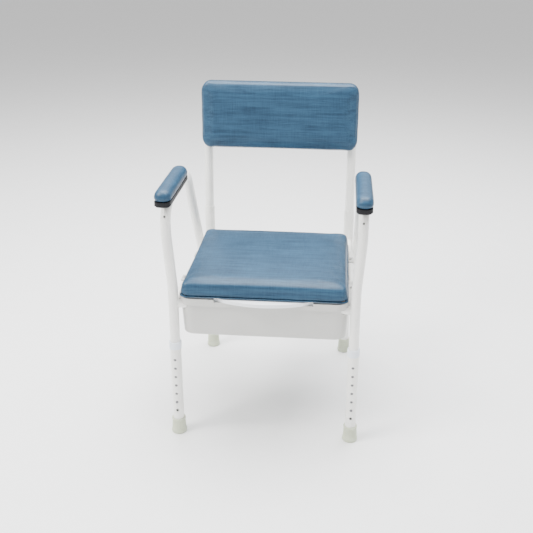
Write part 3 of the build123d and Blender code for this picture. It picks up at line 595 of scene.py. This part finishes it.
def rounded_path(half_x, half_y, radius, step):
    """Points round a rounded rectangle, each with its outward direction and if it is in a corner."""
    points = []
    quadrants = ((1, 1, 0.0), (-1, 1, 0.5), (-1, -1, 1.0), (1, -1, 1.5))
    centres = [Vector((sx * (half_x - radius), sy * (half_y - radius), 0)) for sx, sy, _ in quadrants]
    for index, (_, _, start) in enumerate(quadrants):
        for k in range(CORNER_STEPS + 1):
            angle = math.pi * (start + k / (2 * CORNER_STEPS))
            out = Vector((math.cos(angle), math.sin(angle), 0))
            points.append((centres[index] + out * radius, out, True))
        first, last = points[-1][0], centres[(index + 1) % 4] + out * radius
        count = max(2, int((last - first).length / step))
        for k in range(1, count):
            points.append((first.lerp(last, k / count), out, False))
    return points


def hem(name, body, half_x, half_y, radius, width, place, seed):
    """The vinyl's turned-under edge, stapled to the board: lies on z = 0, faces -z."""
    rng = random.Random(seed)
    bm = bmesh.new()
    rows = []
    for point, out, at_corner in rounded_path(half_x, half_y, radius, HEM_STEP):
        reach = width * (1.0 + rng.uniform(-0.05, 0.05))
        fold = rng.uniform(0.0, CORNER_FOLD if at_corner else EDGE_FOLD)
        row = []
        for k in range(HEM_STRIPS + 1):
            share = k / HEM_STRIPS
            drop = fold * math.sin(math.pi * min(1.0, share * 1.2))
            spot = point - out * (reach * share)
            row.append(bm.verts.new((spot.x, spot.y, -HEM_GAP - drop)))
        rows.append(row)
    for here, there in zip(rows, rows[1:] + rows[:1]):
        for k in range(HEM_STRIPS):
            bm.faces.new((here[k], here[k + 1], there[k + 1], there[k]))
    piece = as_object(name, bm, VINYL)
    shell = piece.modifiers.new("shell", "SOLIDIFY")
    shell.thickness = HEM_THICKNESS
    shell.offset = 0.0
    apply_modifiers(piece)
    piece.data.transform(place)
    finish_piece(piece, body)

    staples = bmesh.new()
    for index, (point, out, at_corner) in enumerate(rounded_path(half_x, half_y, radius, STAPLE_STEP)):
        if at_corner and index % 3:
            continue
        spot = point - out * (width * STAPLE_AT)
        turn = math.atan2(out.x, -out.y) + rng.uniform(-0.25, 0.25)
        placed = Matrix.Translation((spot.x, spot.y, -STAPLE_BELOW)) @ Matrix.Rotation(turn, 4, "Z")
        placed = placed @ Matrix.Diagonal((*STAPLE, 1))
        bmesh.ops.create_cube(staples, size=1.0, matrix=placed)
    staple_piece = as_object(name + "_staples", staples, ZINC, smooth=False)
    staple_piece.data.transform(place)
    finish_piece(staple_piece, body)


def hems():
    """Turned-under vinyl below the lid's board and behind the back board."""
    low, high = corners("seat_cushion")
    middle = (low + high) / 2
    under_board = Matrix.Translation((middle.x, middle.y, corners("seat_board")[0].z))
    hem(
        "seat_hem", "lid", (high.x - low.x) / 2 - HEM_INSET, (high.y - low.y) / 2 - HEM_INSET,
        radius=0.017, width=0.034, place=under_board, seed=5,
    )
    hem(
        "back_hem", "frame", BACK_HALF_WIDTH - HEM_INSET, (BACK_HIGH - BACK_LOW) / 2 - HEM_INSET,
        radius=BACK_CORNER_R, width=0.032, place=on_backrest(0.0), seed=9,
    )


# ---------------------------------------------------------------- rubber tips

# Radius and height, from the sole's edge up the outside and over the mouth's bead.
TIP_PROFILE = (
    (0.0180, 0.0), (0.0194, 0.0006), (0.0200, 0.0022), (0.0200, 0.0075), (0.0193, 0.0095),
    (0.0184, 0.0110), (0.0181, 0.0200), (0.0177, 0.0290), (0.0172, 0.0365), (0.0170, 0.0372),
    (0.0177, 0.0380), (0.0181, 0.0395), (0.0181, 0.0420), (0.0174, 0.0437), (0.0160, 0.0440),
    (0.0146, 0.0438), (0.0145, 0.0400),
)
FLUTE_LOW, FLUTE_HIGH, FLUTE_FADE = 0.0105, 0.0355, 0.002
FLUTES, FLUTE_DEPTH = 26, 0.0011
TIP_SEGMENTS = FLUTES * 8
SOLE_RINGS = (0.0165, 0.0155, 0.0120, 0.0110, 0.0070, 0.0060)
SOLE_GROOVE = 0.0012


def tip_ring(bm, radius, height, flute=0.0):
    """A ring of vertices round the z axis, with flutes cut into it."""
    ring = []
    for k in range(TIP_SEGMENTS):
        angle = 2 * math.pi * k / TIP_SEGMENTS
        r = radius - flute * (0.5 - 0.5 * math.cos(FLUTES * angle)) ** 2
        ring.append(bm.verts.new((r * math.cos(angle), r * math.sin(angle), height)))
    return ring


def join_rings(bm, lower, upper):
    """A band of faces between two rings."""
    for k in range(TIP_SEGMENTS):
        after = (k + 1) % TIP_SEGMENTS
        bm.faces.new((lower[k], lower[after], upper[after], upper[k]))


def rubber_tips():
    """Fluted ferrules with a bead at the mouth and ring grooves in the sole."""
    for leg in LEG_NAMES:
        low, high = corners(f"{leg}_tip")
        middle = (low + high) / 2
        bm = bmesh.new()
        outside = []
        for radius, height in TIP_PROFILE:
            inside = min((height - FLUTE_LOW) / FLUTE_FADE, (FLUTE_HIGH - height) / FLUTE_FADE)
            outside.append(tip_ring(bm, radius, height, FLUTE_DEPTH * max(0.0, min(1.0, inside))))
        for lower, upper in zip(outside, outside[1:]):
            join_rings(bm, lower, upper)
        sole = outside[0]
        for index, radius in enumerate(SOLE_RINGS):
            ring = tip_ring(bm, radius, SOLE_GROOVE if index % 2 else 0.0)
            join_rings(bm, ring, sole)
            sole = ring
        bm.faces.new(list(reversed(sole)))
        bmesh.ops.translate(bm, vec=(middle.x, middle.y, low.z), verts=bm.verts)
        piece = as_object(f"{leg}_fluted_tip", bm, TIP)
        finish_piece(piece, f"{leg}_leg_assembly", (f"{leg}_tip",))


# ---------------------------------------------------------------- weld beads

FRONT_POST_X, FRONT_POST_R = 0.229, 0.0127
SIDE_RAIL_R = 0.0095
SEAT_BEAD_R, SIDE_BEAD_R = 0.0015, 0.0014
BEAD_POINTS = 44
BEAD_UNEVENNESS = 0.16


def weld_bead(name, points, radius):
    """A rippled bead of weld along a closed line of points, under the powder coat."""
    rng = random.Random(name)
    curve = bpy.data.curves.new(name, "CURVE")
    curve.dimensions = "3D"
    curve.bevel_depth = radius
    curve.bevel_resolution = 3
    spline = curve.splines.new("POLY")
    spline.points.add(len(points) - 1)
    for slot, place in zip(spline.points, points):
        slot.co = (*place, 1.0)
        slot.radius = 1.0 + rng.uniform(-BEAD_UNEVENNESS, BEAD_UNEVENNESS)
    spline.use_cyclic_u = True
    curve.materials.append(COAT)
    bead = bpy.data.objects.new(name, curve)
    bpy.context.scene.collection.objects.link(bead)
    finish_piece(bead, "frame")


def coped_ring(post, post_r, rail_mid, rail_r, toward):
    """Where a level rail of one radius meets an upright post of another."""
    points = []
    across = Vector((-toward.y, toward.x, 0))
    for k in range(BEAD_POINTS):
        angle = 2 * math.pi * k / BEAD_POINTS
        offset = (rail_mid - post).dot(across) + rail_r * math.cos(angle)
        depth = math.sqrt(max(0.0, post_r ** 2 - offset ** 2))
        spot = post + across * offset + toward * depth
        points.append(Vector((spot.x, spot.y, rail_mid.z + rail_r * math.sin(angle))))
    return points


def weld_beads():
    """Beads where the seat rails and the side rails meet the front legs and the sleeves."""
    front_low, front_high = corners("front_seat_rail")
    rear_low, rear_high = corners("rear_seat_rail")
    front_mid, rear_mid = (front_low + front_high) / 2, (rear_low + rear_high) / 2
    seat_rail_r = (front_high.z - front_low.z) / 2
    for side_name, side in SIDES:
        tube_front = corners(f"{side_name}_side_tube")[0].y
        front_post = Vector((side * FRONT_POST_X, tube_front + FRONT_POST_R, front_mid.z))
        sleeve_low, sleeve_high = corners(f"{side_name}_backrest_sleeve")
        rear_post = (sleeve_low + sleeve_high) / 2
        rear_post.z = front_mid.z
        rear_r = (sleeve_high.x - sleeve_low.x) / 2
        inward = Vector((-side, 0, 0))
        run = Vector((rear_post.x - front_post.x, rear_post.y - front_post.y, 0)).normalized()
        beads = (
            ("front", front_post, FRONT_POST_R, front_mid, seat_rail_r, inward, SEAT_BEAD_R),
            ("rear", rear_post, rear_r, rear_mid, seat_rail_r, inward, SEAT_BEAD_R),
            ("side_front", front_post, FRONT_POST_R, front_post, SIDE_RAIL_R, run, SIDE_BEAD_R),
            ("side_rear", rear_post, rear_r, rear_post, SIDE_RAIL_R, -run, SIDE_BEAD_R),
        )
        for joint, post, post_r, rail_mid, rail_r, toward, bead_r in beads:
            ring = coped_ring(post, post_r, rail_mid, rail_r, toward)
            weld_bead(f"{side_name}_{joint}_weld", ring, bead_r)


# ---------------------------------------------------------------- stage, lights, camera

FLOOR_HALF = 40.0
FLOOR_COLOR = (0.90, 0.90, 0.90)
SKY_COLOR, SKY_STRENGTH = (1.0, 1.0, 1.0, 1.0), 0.85
LIGHT_AIM = (0.0, 0.0, 0.45)
# Name, place, side length, watts and colour of each softbox.
SOFTBOXES = (
    ("key", (-1.9, -1.1, 2.6), 1.1, 120.0, (1.0, 0.99, 0.97)),
    ("top", (0.1, 0.5, 3.0), 3.0, 330.0, (0.98, 0.99, 1.0)),
    ("fill", (2.4, -2.0, 1.3), 2.0, 6.0, (1.0, 1.0, 1.0)),
)
# Focal length and centre in pixels of the photograph, distance and target in metres, angles
# in degrees. The centre is counted from the left and the top.
IMAGE = 533.0
SENSOR = 36.0
CAMERA = {
    "focal": 769.5, "centre": (290.0, 225.0), "distance": 2.0652,
    "yaw": -3.72, "pitch": 21.26, "roll": 0.68, "target": (0.0498, -0.0248, 0.5240),
}


def stage():
    """A wide pale floor and a pale sky."""
    bm = bmesh.new()
    bmesh.ops.create_grid(bm, x_segments=1, y_segments=1, size=FLOOR_HALF)
    paint = moulded("floor_paint", FLOOR_COLOR, roughness=0.6, pebble=300.0, relief=0.05, shade=0.985)
    floor = as_object("floor", bm, paint)
    world = bpy.data.worlds.new("studio")
    world.use_nodes = True
    background = world.node_tree.nodes["Background"]
    background.inputs["Color"].default_value = SKY_COLOR
    background.inputs["Strength"].default_value = SKY_STRENGTH
    bpy.context.scene.world = world


def lights():
    """A large key from the upper left, a broad top light and a weak fill, all aimed at the seat."""
    for name, place, size, power, color in SOFTBOXES:
        data = bpy.data.lights.new(name, "AREA")
        data.shape = "SQUARE"
        data.size = size
        data.energy = power
        data.color = color
        light = bpy.data.objects.new(name, data)
        light.location = place
        aim = Vector(LIGHT_AIM) - Vector(place)
        light.rotation_euler = aim.to_track_quat("-Z", "Y").to_euler()
        bpy.context.scene.collection.objects.link(light)


def camera():
    """The photograph's viewing angle."""
    yaw, pitch, roll = (math.radians(CAMERA[key]) for key in ("yaw", "pitch", "roll"))
    back = Vector((-math.sin(yaw) * math.cos(pitch), -math.cos(yaw) * math.cos(pitch), math.sin(pitch)))
    right = (-back).cross(Vector((0, 0, 1))).normalized()
    up = right.cross(-back)
    tilted_right = right * math.cos(roll) + up * math.sin(roll)
    tilted_up = up * math.cos(roll) - right * math.sin(roll)
    place = Vector(CAMERA["target"]) + back * CAMERA["distance"]
    data = bpy.data.cameras.new("camera")
    data.sensor_width = SENSOR
    data.lens = CAMERA["focal"] / IMAGE * SENSOR
    data.shift_x = 0.5 - CAMERA["centre"][0] / IMAGE
    data.shift_y = (CAMERA["centre"][1] - IMAGE / 2) / IMAGE
    made = bpy.data.objects.new("camera", data)
    turn = Matrix((tilted_right, tilted_up, back)).transposed()
    made.matrix_world = Matrix.Translation(place) @ turn.to_4x4()
    bpy.context.scene.collection.objects.link(made)
    bpy.context.scene.camera = made


dress_nodes()
seat_pad()
back_pad()
arm_pads()
hems()
rubber_tips()
weld_beads()
stage()
lights()
camera()
